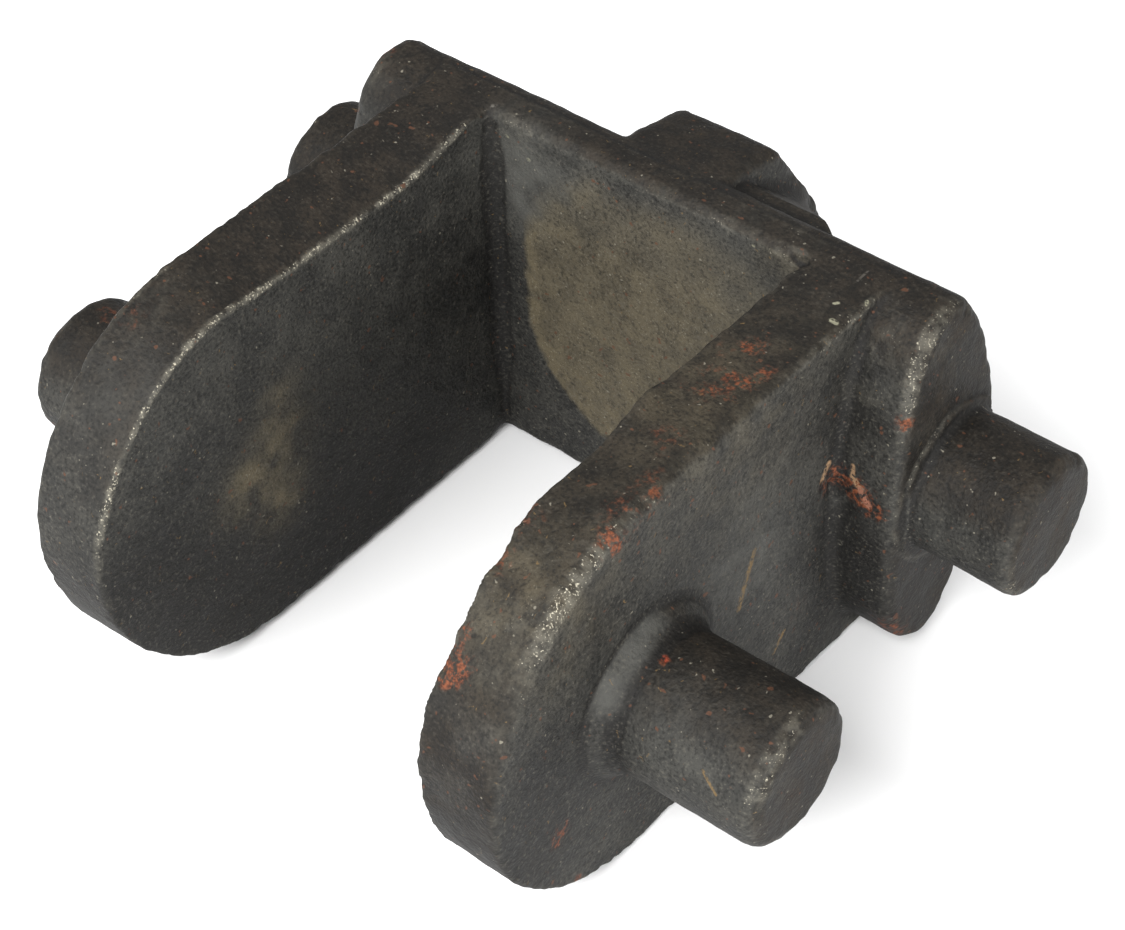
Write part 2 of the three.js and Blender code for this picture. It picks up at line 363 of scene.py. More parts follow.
def surface_net(field, low):
    """One vertex for each cell that the surface crosses, one quad for each grid edge that it crosses."""
    inside = field < 0
    shape = np.array(field.shape)
    corners = [(i, j, k) for i in (0, 1) for j in (0, 1) for k in (0, 1)]
    count = sum(inside[i:shape[0] - 1 + i, j:shape[1] - 1 + j, k:shape[2] - 1 + k].astype(np.int8)
                for i, j, k in corners)
    cells = np.argwhere((count > 0) & (count < 8))
    summed, hits = np.zeros((len(cells), 3)), np.zeros(len(cells))
    for corner in corners:
        for axis in range(3):
            if corner[axis]:
                continue
            far = list(corner)
            far[axis] = 1
            a = field[tuple((cells + corner).T)]
            b = field[tuple((cells + far).T)]
            crossed = (a < 0) != (b < 0)
            t = np.where(crossed, a / np.where(crossed, a - b, 1), 0)
            point = np.tile(np.array(corner, float), (len(cells), 1))
            point[:, axis] = t
            summed += point * crossed[:, None]
            hits += crossed
    vertices = low + (cells + summed / hits[:, None]) * CELL
    number = np.full(shape - 1, -1, np.int32)
    number[tuple(cells.T)] = np.arange(len(cells))
    quads = []
    for axis in range(3):
        u, v = (axis + 1) % 3, (axis + 2) % 3
        first = [slice(1, -1)] * 3
        first[axis] = slice(0, -1)
        second = list(first)
        second[axis] = slice(1, None)
        a, b = inside[tuple(first)], inside[tuple(second)]
        edges = np.argwhere(a != b)
        outward = a[tuple(edges.T)]
        edges = edges + np.array([0 if i == axis else 1 for i in range(3)])
        du, dv = np.zeros(3, int), np.zeros(3, int)
        du[u], dv[v] = 1, 1
        ring = [number[tuple((edges - s).T)] for s in (du + dv, dv, 0 * du, du)]
        quad = np.stack(ring, 1)
        quad[~outward] = quad[~outward][:, ::-1]
        quads.append(quad)
    return vertices, np.concatenate(quads)


def gradient(points, reach):
    """The field's slope at each point, and how sharply it curves: above 0 on edges, below 0 in corners."""
    here = casting(*points.T)
    slope = np.zeros_like(points)
    bend = np.zeros(len(points))
    for axis in range(3):
        step = np.zeros(3)
        step[axis] = reach
        ahead, behind = casting(*(points + step).T), casting(*(points - step).T)
        slope[:, axis] = (ahead - behind) / (2 * reach)
        bend += (ahead + behind - 2 * here) / reach ** 2
    return here, slope, bend


def settle(points):
    """Moves points onto the surface."""
    for _ in range(2):
        here, slope, _bend = gradient(points, 0.12)
        length = np.maximum((slope ** 2).sum(1), 0.25)
        points = points - slope * np.clip(here / length, -CELL, CELL)[:, None]
    return points


REGIONS = ("cross_bar", "rear_lug", "left_cheek", "right_cheek",
           "front_pin_left", "front_pin_right", "rear_pin_left", "rear_pin_right")

# Where the casting is parted into pieces. Each plane crosses metal whose faces run straight through it.
FRONT_PIN_CUT = OUTER_X + 3.6
REAR_PIN_CUT = BAR_END + 1.9
CHEEK_CUT = bar_low[1] - 1.0
LUG_CUT = bar_high[1] + 1.0


def snap_to_cuts(points):
    """Points next to a parting plane are moved onto it, so that the pieces meet on a straight line."""
    x, y = points[:, 0], points[:, 1]
    front = y < CHEEK_CUT
    planes = (
        (0, FRONT_PIN_CUT, front), (0, -FRONT_PIN_CUT, front),
        (0, REAR_PIN_CUT, ~front), (0, -REAR_PIN_CUT, ~front),
        (1, CHEEK_CUT, np.abs(x) < OUTER_X + 1), (1, LUG_CUT, np.abs(x) < OUTER_X),
    )
    for axis, place, where in planes:
        close = where & (np.abs(points[:, axis] - place) < CELL * 0.5)
        points[close, axis] = place
    return points


def region_of(points):
    """The number in REGIONS of the piece that each point belongs to."""
    x, y = points[:, 0], points[:, 1]
    side = np.where(x < 0, 0, 1)
    region = np.where(y < CHEEK_CUT, 2 + side, 0)
    region = np.where((y >= CHEEK_CUT) & (y > LUG_CUT) & (np.abs(x) < OUTER_X), 1, region)
    region = np.where((y < CHEEK_CUT) & (np.abs(x) > FRONT_PIN_CUT), 4 + side, region)
    return np.where((y >= CHEEK_CUT) & (np.abs(x) > REAR_PIN_CUT), 6 + side, region)


def roughen(points, normals, bend):
    """Cast skin: slow waves, lumps and a coarse grain, with dents along the edges."""
    x, y, z = points.T
    waves = 0.16 * noise(x, y, z, 15, 1) + 0.10 * noise(x, y, z, 6, 2)
    lumps = 0.06 * noise(x, y, z, 2.6, 3) + 0.045 * noise(x, y, z, 1.3, 4)
    edge = smooth_step(0.15, 0.55, bend)
    dents = -edge * (0.22 * np.maximum(noise(x, y, z, 2.1, 5), 0) + 0.12 * noise(x, y, z, 1.1, 6))
    # ragged flash along the inner edge of the right cheek's nose
    flash = smooth_step(INNER_X + 2.2, INNER_X + 0.4, x) * smooth_step(INNER_X - 2, INNER_X, x)
    flash *= smooth_step(0, -6, y) * smooth_step(MIDDLE_Z - 8, MIDDLE_Z + 4, z)
    flash *= smooth_step(-2.2, -0.8, cheek_profile(x, y, z))
    turn = np.arctan2(z - MIDDLE_Z, y - NOSE_Y) * NOSE_R
    ragged = 0.75 * np.maximum(noise(turn, 0 * x, 0 * x, 3.4, 7) + 0.25, 0)
    return points + normals * (waves + lumps + dents + flash * ragged)[:, None]


def build_surface():
    low = np.array([-REAR_PIN_END, cheek_low[1], 0.0]) - 3 * CELL
    high = np.array([REAR_PIN_END, LUG_BACK, HEIGHT]) + 3 * CELL
    counts = (np.ceil((high - low) / CELL / COARSE).astype(int) + 1) * COARSE
    field = fine_field(low, counts)
    points, quads = surface_net(field, low)
    points = settle(points)
    points = snap_to_cuts(points)
    _here, slope, bend = gradient(points, 0.8)
    normals = slope / np.linalg.norm(slope, axis=1)[:, None]
    points = roughen(points, normals, bend)
    return points, quads, bend


def near(points, centre, radius, squash=(1, 1, 1)):
    """1 at a place on the casting, falling smoothly to 0 at about twice the radius."""
    away = (points - np.array(centre)) * np.array(squash)
    return np.exp(-(away ** 2).sum(1) / (1.3 * radius ** 2))


# Where each coat lies, apart from what the shape itself gives: places on the casting in mm, how far each
# spreads, and how strong it is.
WORN = (
    ((-34.5, -31.0, 57.0), 5.0, 0.9), ((36.3, -36.5, 53.2), 7.0, 1.3), ((36.4, -43.0, 48.5), 6.0, 0.7),
    ((35.5, -22.0, 57.3), 8.0, 0.35), ((36.5, 12.0, 57.6), 8.0, 0.5), ((58.7, -30.5, 33.5), 4.5, 1.3),
    ((58.7, -23.0, 36.5), 5.0, 0.6), ((43.2, 19.5, 55.0), 5.5, 1.2), ((43.8, 16.0, 46.0), 6.0, 0.4),
    ((60.6, 19.0, 24.0), 4.0, 0.7), ((-21.0, FACE_Y, 54.0), 3.2, 1.0), ((-15.0, FACE_Y, 52.5), 3.0, 0.7),
    ((4.0, FACE_Y, 52.5), 5.0, 0.5), ((15.0, FACE_Y, 52.0), 5.0, 0.6), ((27.0, -44.0, 46.0), 6.0, 0.4),
    ((-43.5, 19.5, 55.5), 4.0, 0.8), ((20.0, 28.0, 57.5), 5.0, 0.6), ((41.5, 15.0, 50.0), 5.0, 0.7),
)
RUSTY = (
    ((27.0, -47.0, 43.5), 2.2, 1.5), ((26.4, -44.5, 47.5), 1.4, 0.8), ((36.1, -30.2, 55.9), 1.7, 1.2),
    ((34.9, -26.0, 57.3), 2.6, 0.6), ((35.0, -21.0, 57.3), 2.2, 0.6), ((32.0, -14.0, 57.5), 3.0, 0.5),
    ((30.6, -3.2, 57.7), 3.2, 0.7), ((32.9, -1.4, 57.7), 1.6, 0.8), ((30.1, 5.4, 57.7), 1.4, 0.9),
    ((28.7, 3.2, 57.7), 2.2, 0.5), ((34.6, 2.2, 57.7), 1.5, 0.6), ((OUTER_X, -40.9, 15.4), 1.5, 1.5),
    ((OUTER_X, -38.0, 3.0), 1.3, 0.9), ((45.2, 16.4, 45.3), 1.3, 1.0), ((45.3, 17.1, 7.0), 3.0, 1.3),
    ((41.1, -26.3, 36.8), 0.7, 1.2), ((-54.7, -22.8, 36.9), 2.6, 0.5), ((-34.6, -35.6, 55.6), 2.2, 0.5),
    ((-45.5, 23.8, 57.5), 1.5, 1.0), ((37.2, 13.5, 33.1), 1.8, 1.2), ((41.5, 14.6, 31.6), 2.0, 1.3),
    ((39.0, CORNER_Y, 33.0), 1.7, 1.1), ((43.5, 15.0, 30.0), 1.6, 1.0), ((OUTER_X, 8.0, 14.0), 2.0, 0.5),
    ((25.9, -31.8, 54.7), 1.8, 0.8), ((26.0, -36.9, 52.3), 1.8, 0.6), ((26.5, -50.0, 30.0), 2.5, 0.4),
    ((57.5, -30.0, 22.0), 2.5, 0.4), ((44.0, 20.0, 2.0), 2.6, 1.2), ((30.0, 28.0, 56.5), 2.0, 0.4),
)
DUSTY = (
    ((-INNER_X, -28.0, 26.5), 3.6, 0.85), ((-INNER_X, -21.5, 31.0), 3.8, 0.65),
    ((-INNER_X, -22.5, 20.5), 3.6, 0.7), ((-INNER_X, -21.0, 37.5), 3.0, 0.3),
    ((32.0, -40.0, 52.0), 9.0, 0.30), ((31.0, -6.0, 58.0), 13.0, 0.22),
)
# Clean grey metal, and painted light: some patches, high on the bar's inner face by the left corner, are
# painted paler where light falls on them.
BARE_AND_PAINTED_LIGHT = (
    ((-20.5, FACE_Y, 52.0), 4.5, 1.1), ((-19.5, FACE_Y, 44.5), 4.5, 1.0),
    ((-13.0, FACE_Y, 51.5), 4.0, 0.6), ((43.4, 15.4, 49.0), 3.2, 0.4), ((-47.0, 20.0, 52.0), 3.5, 0.5),
    ((44.0, -34.0, 38.0), 5.0, 0.6), ((50.0, -35.5, 31.0), 6.0, 0.4), ((OUTER_X, -4.0, 33.0), 9.0, 0.8),
    ((-30.0, -42.0, 48.0), 7.0, 0.4), ((50.0, 16.5, 29.0), 4.5, 0.5), ((15.0, FACE_Y, 47.0), 7.0, 0.4),
)
# Painted shade: dark patches where shadow falls, on the stub's front beside the right cheek, low on the
# left cheek's inner face and on the noses, beside the front pins and under the pins: places, spread and
# strength.
PAINTED_SHADE_SPOTS = (
    ((39.5, CORNER_Y, 22.0), 6.0, 1.2), ((39.5, CORNER_Y, 9.0), 6.0, 1.1),
    ((-INNER_X, -12.0, 8.0), 13.0, 1.0), ((-INNER_X, 6.0, 8.0), 10.0, 0.8),
    ((30.0, -56.0, 12.0), 8.0, 1.0), ((OUTER_X, -44.0, 32.0), 6.0, 0.8), ((56.0, -25.0, 27.0), 6.0, 0.3),
    ((45.0, 27.0, 8.0), 8.0, 0.5), ((-30.0, -56.0, 10.0), 8.0, 0.4), ((52.0, 20.0, 19.5), 4.0, 0.6),
    ((38.4, CORNER_Y, 44.0), 4.0, 1.2), ((38.2, CORNER_Y, 52.0), 3.0, 0.9),
    ((-INNER_X, -36.0, 12.0), 12.0, 1.1), ((-INNER_X, -46.0, 27.0), 8.0, 0.6),
    ((30.0, -52.0, 8.0), 9.0, 1.0), ((OUTER_X, -20.0, 9.0), 9.0, 0.6),
    ((OUTER_X, -42.0, 20.0), 8.0, 0.6), ((OUTER_X, -34.0, 46.0), 5.0, 0.6),
    ((54.0, 20.5, 20.0), 7.0, 0.9), ((28.0, -55.0, 20.0), 8.0, 0.6), ((-30.0, -56.0, 24.0), 9.0, 0.6),
)


# Tan earth on the bar's inner face: round on its left and below, open on its right and above.
EARTH_X, EARTH_Z, EARTH_R = 0.7, 27.7, 20.9


def total(points, spots):
    return sum(strength * near(points, centre, radius) for centre, radius, strength in spots)


def paint(points, normals, bend):
    """How much of each coat every point has, from 0 to about 1, by the name that the shader reads."""
    x, y, z = points.T
    edge = smooth_step(0.22, 0.70, bend)
    weight = 0.12 + 0.8 * total(points, WORN)
    left_rim = smooth_step(-27.0, -26.0, x) * smooth_step(-22, -24.5, x) * smooth_step(26, 42, z)
    weight = np.maximum(weight, 1.1 * left_rim * smooth_step(20, 15, y))
    patchy = 0.75 + 0.5 * noise(x, y, z, 3.0, 21) + 0.4 * noise(x, y, z, 1.2, 22)
    wear_and_highlight = np.clip(edge * weight * patchy, 0, 1.3)
    wear_and_highlight = np.maximum(wear_and_highlight, 0.38 * np.clip(total(points, WORN), 0, 1) * np.clip(patchy - 0.5, 0, 1))

    ragged = 0.9 + 0.9 * noise(x, y, z, 1.6, 23) + 0.5 * noise(x, y, z, 0.8, 24)
    rust = np.clip(total(points, RUSTY) * ragged, 0, 1.2)

    face = smooth_step(FACE_Y + 1.6, FACE_Y + 0.6, y) * smooth_step(FACE_Y - 1.5, FACE_Y - 0.7, y)
    face = face * smooth_step(-0.75, -0.9, normals[:, 1])
    lean = 0.9 * np.maximum(z - 40, 0)
    from_middle = np.hypot(np.minimum(x - EARTH_X - lean, 0), np.minimum(z - EARTH_Z, 0))
    from_middle = from_middle + 0.5 * noise(x, y, z, 2.5, 25) + 0.4 * noise(x, y, z, 0.9, 26)
    blur = 4.5 * smooth_step(38, 48, z)
    disc = np.clip((EARTH_R + blur - from_middle) / (0.8 + 2 * blur), 0, 1)
    disc = disc * smooth_step(60, 40, z + 6 * noise(x, y, z, 6, 27))
    rim = 0.5 * smooth_step(17.5, 20.0, from_middle) + 0.25 * smooth_step(40, 12, z)
    dust = face * disc * (0.72 + rim * (0.6 + 0.8 * noise(x, y, z, 1.4, 30)))
    dust = np.clip(dust + total(points, DUSTY) * (0.9 + 0.8 * noise(x, y, z, 2.2, 28)), 0, 1.2)

    onto_bar = 0.24 * smooth_step(14, 20, y)
    top = smooth_step(0.35 - onto_bar, 0.85 - onto_bar, normals[:, 2] + 0.12 * noise(x, y, z, 5, 29))
    ends = smooth_step(OUTER_X + 5, OUTER_X + 7, np.abs(x)) * smooth_step(0.6, 0.9, np.abs(normals[:, 0]))
    oxide = np.maximum(top, ends * (0.95 + 0.4 * noise(x, y, z, 4, 32)))
    right_nose = smooth_step(-34, -50, y) * smooth_step(0, INNER_X, x)
    right_nose = right_nose * smooth_step(OUTER_X + 0.2, OUTER_X - 0.6, x)
    oxide = np.maximum(oxide, right_nose * (0.7 + 0.4 * noise(x, y, z, 3, 33)))

    # Painted highlight: the upper side of each front pin's collar, where light falls on it, is painted
    # pale grey and kept clear of oxide and painted shade.
    from_pin = np.hypot(y - FRONT_Y, z - FRONT_Z)
    collar = smooth_step(PIN_R, PIN_R + 0.7, from_pin)
    collar = collar * smooth_step(COLLAR_R + 0.5, COLLAR_R - 0.2, from_pin)
    collar = collar * smooth_step(OUTER_X - 0.2, OUTER_X + 0.3, np.abs(x))
    upward = ((y - FRONT_Y) * -0.45 + (z - FRONT_Z) * 0.89) / np.maximum(from_pin, 1)
    collar = collar * smooth_step(0.66, 0.94, upward)
    speckle = 0.85 + 0.5 * noise(x, y, z, 2.0, 31)
    bare = np.clip(np.maximum(1.1 * collar * speckle, total(points, BARE_AND_PAINTED_LIGHT) * speckle), 0, 1.2)

    # Painted highlight: a pale line on the front half of each rear boss's rim, where light catches its
    # crest, put in with the worn edges.
    from_rear_pin = np.hypot(y - REAR_Y, z - REAR_Z)
    ring = smooth_step(0.7, 0.2, np.abs(from_rear_pin - BOSS_R))
    ring = ring * smooth_step(BAR_END - 1, BAR_END, np.abs(x))
    wear_and_highlight = np.maximum(wear_and_highlight, 0.4 * ring * smooth_step(REAR_Y + 3, REAR_Y - 3, y))

    # Painted shade: darker in the casting's corners and creases, and at the painted shade spots.
    painted_shade = np.maximum(smooth_step(-0.04, -0.30, bend), np.clip(total(points, PAINTED_SHADE_SPOTS), 0, 1))
    off_collar = 1 - 0.8 * collar
    return {"wear_and_highlight": wear_and_highlight, "rust": rust, "dust": dust, "oxide": oxide * off_collar,
            "painted_shade": painted_shade * off_collar, "bare": bare}


def vertex_normals(points, quads):
    corners = points[quads]
    face = np.cross(corners[:, 2] - corners[:, 0], corners[:, 3] - corners[:, 1])
    normals = np.zeros_like(points)
    for i in range(4):
        np.add.at(normals, quads[:, i], face)
    return normals / np.maximum(np.linalg.norm(normals, axis=1), 1e-9)[:, None]


def boundary_loops(quads):
    """Edges that only one quad of a piece has, in rings."""
    edges = np.concatenate([quads[:, [i, (i + 1) % 4]] for i in range(4)])
    known = set(map(tuple, edges.tolist()))
    after = {}
    for a, b in known:
        if (b, a) not in known:
            after.setdefault(a, []).append(b)
    rings = []
    while after:
        start = min(after)
        ring, here = [start], after[start].pop()
        while here != start:
            ring.append(here)
            here = after[here].pop()
        for key in [k for k, v in after.items() if not v]:
            del after[key]
        rings.append(ring)
    return rings


def make_piece(name, points, quads, normals, coats):
    """One closed piece. Its hidden parting faces are fans about the middle of each ring."""
    used = np.unique(quads)
    renumber = np.full(len(points), -1)
    renumber[used] = np.arange(len(used))
    local, own, own_normals = renumber[quads], points[used], normals[used]
    faces = local.tolist()
    vertices = own.tolist()
    shading = own_normals.tolist()
    for ring in boundary_loops(local):
        middle = own[ring].mean(0)
        out = np.cross(own[ring[1]] - middle, own[ring[0]] - middle)
        hub = len(vertices)
        vertices.append(middle.tolist())
        shading.append((out / max(np.linalg.norm(out), 1e-9)).tolist())
        for a, b in zip(ring, ring[1:] + ring[:1]):
            faces.append([b, a, hub])
    mesh = bpy.data.meshes.new(name)
    mesh.from_pydata((np.array(vertices) * MM).tolist(), [], faces)
    for coat, amount in coats.items():
        values = np.zeros(len(vertices), np.float32)
        values[:len(used)] = amount[used]
        mesh.attributes.new(coat, "FLOAT", "POINT").data.foreach_set("value", values)
    mesh.polygons.foreach_set("use_smooth", [True] * len(mesh.polygons))
    mesh.normals_split_custom_set_from_vertices(shading)
    mesh.validate()
    piece = bpy.data.objects.new(name, mesh)
    bpy.context.scene.collection.objects.link(piece)
    return piece


# ---------------------------------------------------------------- material


class Nodes:
    """Short ways to add and join shader nodes."""

    def __init__(self, material):
        material.use_nodes = True
        self.tree = material.node_tree
        self.tree.nodes.clear()

    def add(self, kind, inputs=None, **settings):
        node = self.tree.nodes.new(kind)
        for key, value in settings.items():
            setattr(node, key, value)
        for key, value in (inputs or {}).items():
            if isinstance(value, bpy.types.NodeSocket):
                self.tree.links.new(value, node.inputs[key])
            else:
                node.inputs[key].default_value = value
        return node

    def noise(self, position, size_mm, detail=2.0, rough=0.5, distortion=0.0):
        node = self.add("ShaderNodeTexNoise", {
            "Vector": position, "Scale": 1 / (size_mm * MM), "Detail": detail, "Roughness": rough,
            "Distortion": distortion})
        return node.outputs["Fac"]

    def math(self, operation, a, b=0.0, c=0.0, clamp=False):
        node = self.add("ShaderNodeMath", {0: a, 1: b, 2: c}, operation=operation, use_clamp=clamp)
        return node.outputs[0]

    def ramp(self, value, low, high):
        """0 below low, 1 above high, smooth between."""
        node = self.add("ShaderNodeMapRange", {"Value": value, "From Min": low, "From Max": high},
                        interpolation_type="SMOOTHSTEP", clamp=True)
        return node.outputs["Result"]

    def mix(self, share, a, b):
        node = self.add("ShaderNodeMix", {"Factor": share}, data_type="RGBA")
        for socket, value in ((node.inputs[6], a), (node.inputs[7], b)):
            if isinstance(value, bpy.types.NodeSocket):
                self.tree.links.new(value, socket)
            else:
                socket.default_value = (*value, 1)
        return node.outputs[2]

    def mark(self, position, start_mm, end_mm, half_width_mm):
        """1 along a line on the casting, 0 away from it."""
        start, end = Vector(start_mm) * MM, Vector(end_mm) * MM
        line = end - start
        away = self.add("ShaderNodeVectorMath", {0: position, 1: start}, operation="SUBTRACT").outputs[0]
        along = self.add("ShaderNodeVectorMath", {0: away, 1: line / line.length_squared},
                         operation="DOT_PRODUCT").outputs["Value"]
        along = self.math("ADD", along, 0.0, clamp=True)
        foot = self.add("ShaderNodeVectorMath", {0: line, "Scale": along}, operation="SCALE").outputs[0]
        distance = self.add("ShaderNodeVectorMath", {0: away, 1: foot},
                            operation="DISTANCE").outputs["Value"]
        half_width = half_width_mm * MM
        return self.ramp(distance, half_width * 1.3, half_width * 0.5)


STRAW = (0.100, 0.067, 0.031)
PALE = (0.185, 0.178, 0.125)
PEACH = (0.200, 0.125, 0.070)
PINK = (0.195, 0.085, 0.055)
RED = (0.21, 0.035, 0.015)
# painted shade: near black for the shadow in small pits
PIT_SHADE = (0.006, 0.004, 0.004)

# Scratches, chips, flakes, and painted shade in pits: both ends and the half width in millimetres, and the
# colour.
MARKS = (
    ((OUTER_X, -2.6, 33.1), (OUTER_X, -5.3, 25.2), 0.55, STRAW),
    ((OUTER_X, 3.0, 9.8), (OUTER_X, 5.2, 12.2), 0.36, STRAW),
    ((51.9, -33.2, 31.3), (54.3, -33.9, 29.5), 0.22, STRAW),
    ((OUTER_X, CORNER_Y - 1.5, 36.1), (OUTER_X, CORNER_Y - 2.8, 34.0), 0.50, PEACH),
    ((39.2, CORNER_Y, 36.0), (39.4, CORNER_Y, 34.2), 0.38, PEACH),
    ((39.4, CORNER_Y, 34.2), (40.7, CORNER_Y, 32.8), 0.52, PEACH),
    ((40.7, CORNER_Y, 32.8), (42.0, CORNER_Y, 30.9), 0.60, PINK),
    # painted shade in the pits by the stub's corner beside the right cheek
    ((OUTER_X, CORNER_Y - 2.8, 33.6), (OUTER_X, CORNER_Y - 2.9, 32.8), 0.55, PIT_SHADE),
    ((37.3, 14.4, 36.0), (38.4, CORNER_Y, 34.0), 0.30, PIT_SHADE),
    ((33.2, 17.4, HEIGHT), (33.5, 17.8, HEIGHT), 0.26, PALE),
    ((34.7, CORNER_Y, HEIGHT), (35.4, 14.6, HEIGHT), 0.42, PALE),
    ((36.1, 20.2, HEIGHT), (36.4, 19.7, HEIGHT), 0.26, PALE),
    ((33.0, 22.7, HEIGHT), (33.0, 24.9, HEIGHT), 0.20, (0.045, 0.041, 0.034)),
    ((-INNER_X, 22.6, HEIGHT), (-23.0, 24.3, HEIGHT), 0.34, (0.070, 0.065, 0.055)),
    ((-7.5, FACE_Y, 54.7), (-6.5, FACE_Y, 53.0), 0.20, PALE),
    ((-22.5, FACE_Y, 54.9), (-22.2, FACE_Y, 54.7), 0.34, PALE),
    ((-18.9, FACE_Y, 52.5), (-18.7, FACE_Y, 52.5), 0.30, PALE),
    ((-16.4, FACE_Y, 54.9), (-15.7, FACE_Y, 54.8), 0.26, PALE),
    ((-12.6, FACE_Y, 55.2), (-12.5, FACE_Y, 55.2), 0.26, PALE),
    ((-12.2, FACE_Y, 54.3), (-12.1, FACE_Y, 54.3), 0.26, PALE),
    ((-4.7, FACE_Y, 54.3), (-4.6, FACE_Y, 54.3), 0.24, PALE),
    ((-4.4, FACE_Y, 52.6), (-4.3, FACE_Y, 52.6), 0.24, PALE),
    ((-6.1, FACE_Y, 48.9), (-5.9, FACE_Y, 48.7), 0.26, PALE),
    ((17.8, FACE_Y, 56.2), (17.9, FACE_Y, 56.2), 0.30, PALE),
    ((40.8, -26.0, 37.2), (41.0, -26.2, 37.0), 0.50, RED),
)


def cast_iron(name):
    """Dark cast iron: mottled iron, oxide, clean grey metal, earth, grain, worn edges, rust, scratches,
    with painted shade and painted highlights.
    """
    material = bpy.data.materials.new(name)
    n = Nodes(material)
    place = n.add("ShaderNodeTexCoord").outputs["Object"]
    coat = {key: n.add("ShaderNodeAttribute", attribute_name=key).outputs["Fac"]
            for key in ("wear_and_highlight", "rust", "dust", "oxide", "painted_shade", "bare")}

    sand = n.noise(place, 0.50, 2, 0.6)            # the mould's sand grain
    grit = n.noise(place, 0.28, 1, 0.5)
    pebble = n.noise(place, 1.3, 2, 0.55)
    mottle = n.noise(place, 4.0, 4, 0.62)
    cloud = n.noise(place, 16, 2, 0.5)

    tone = n.math("ADD", n.math("MULTIPLY", mottle, 0.8), n.math("MULTIPLY", cloud, 0.6))
    colour = n.mix(n.ramp(tone, 0.50, 0.95), (0.0155, 0.0152, 0.0140), (0.0330, 0.0318, 0.0278))
    brown = n.mix(n.ramp(mottle, 0.38, 0.66), (0.0062, 0.0048, 0.0034), (0.0140, 0.0103, 0.0068))
    colour = n.mix(n.math("MULTIPLY", coat["oxide"], 0.9), colour, brown)
    # clean grey metal, and painted light: the collar highlight and paler places where light falls
    colour = n.mix(n.math("MULTIPLY", coat["bare"], 0.75), colour, (0.0560, 0.0555, 0.0500))
    # painted shade: near black in corners and where shadow falls
    colour = n.mix(n.math("MULTIPLY", coat["painted_shade"], 0.80), colour, (0.006, 0.0055, 0.005))

    grains = n.math("ADD", pebble, n.math("MULTIPLY", sand, 0.6))
    dusty = n.math("MULTIPLY", coat["dust"], n.ramp(grains, -0.10, 0.85))
    dusty = n.math("MULTIPLY", dusty, n.math("MULTIPLY_ADD", n.ramp(mottle, 0.34, 0.60), 0.34, 0.66))
    colour = n.mix(dusty, colour, (0.086, 0.071, 0.044))
    clean = n.math("MAXIMUM", dusty, coat["bare"], clamp=True)

    # sand grain: dark between the grains and pale on them
    hollows = n.math("MULTIPLY", n.ramp(sand, 0.50, 0.34), n.math("MULTIPLY_ADD", clean, -0.50, 0.60))
    colour = n.mix(hollows, colour, (0.003, 0.003, 0.0026))
    tips = n.math("MULTIPLY", n.ramp(sand, 0.55, 0.72), n.math("MULTIPLY_ADD", coat["oxide"], -0.24, 0.36))
    colour = n.mix(tips, colour, (0.085, 0.079, 0.064))

    smear = n.math("MULTIPLY", coat["wear_and_highlight"], n.ramp(pebble, 0.30, 0.70))
    colour = n.mix(n.math("MULTIPLY", smear, 0.48), colour, (0.150, 0.140, 0.112))
    flecks = n.math("ADD", grit, n.math("MULTIPLY", coat["wear_and_highlight"], 0.13))
    glint = n.math("MULTIPLY", n.ramp(flecks, 0.68, 0.90), n.ramp(coat["wear_and_highlight"], 0.08, 0.6))
    pale = n.math("MULTIPLY", n.ramp(grit, 0.62, 0.78), n.math("MULTIPLY", dusty, 0.6))
    colour = n.mix(pale, colour, (0.200, 0.180, 0.135))
    stray = n.math("MULTIPLY", n.ramp(n.noise(place, 0.75, 1), 0.735, 0.80), 0.75)
    straw = n.math("MULTIPLY", n.ramp(n.noise(place, 0.9, 2, 0.6, 0.8), 0.70, 0.76), 0.7)
    colour = n.mix(straw, colour, (0.11, 0.070, 0.028))
    colour = n.mix(stray, colour, (0.15, 0.138, 0.108))
    colour = n.mix(glint, colour, (0.40, 0.37, 0.29))

    crumbs = n.noise(place, 0.85, 3, 0.65)
    eaten = n.math("MULTIPLY", coat["rust"], n.ramp(crumbs, 0.34, 0.64))
    red = n.mix(n.ramp(sand, 0.35, 0.65), (0.042, 0.014, 0.007), (0.150, 0.043, 0.017))
    colour = n.mix(n.math("MULTIPLY", n.ramp(eaten, 0.15, 0.95), 0.85), colour, red)
    specks = n.math("MULTIPLY", n.ramp(n.noise(place, 1.1, 1), 0.71, 0.77), 0.7)
    colour = n.mix(specks, colour, (0.070, 0.030, 0.016))

    ragged = n.ramp(n.noise(place, 0.45, 2, 0.6), 0.34, 0.56)
    for start, end, half_width, tint in MARKS:
        share = n.math("MULTIPLY", n.mark(place, start, end, half_width), ragged)
        colour = n.mix(share, colour, tint)

    roughness = n.add("ShaderNodeMapRange", {"Value": mottle, "To Min": 0.54, "To Max": 0.80}).outputs[0]
    metal = n.math("MULTIPLY", glint, 0.6)

    height = n.math("ADD", n.math("MULTIPLY", sand, 0.9), n.math("MULTIPLY", pebble, 0.9))
    bump = n.add("ShaderNodeBump", {"Height": height, "Distance": 0.16 * MM, "Strength": 1.0})
    shader = n.add("ShaderNodeBsdfPrincipled", {
        "Base Color": colour, "Roughness": roughness, "Metallic": metal, "Normal": bump.outputs[0],
        "Specular IOR Level": 0.18})
    output = n.add("ShaderNodeOutputMaterial")
    n.tree.links.new(shader.outputs[0], output.inputs["Surface"])
    return material


# ---------------------------------------------------------------- the casting

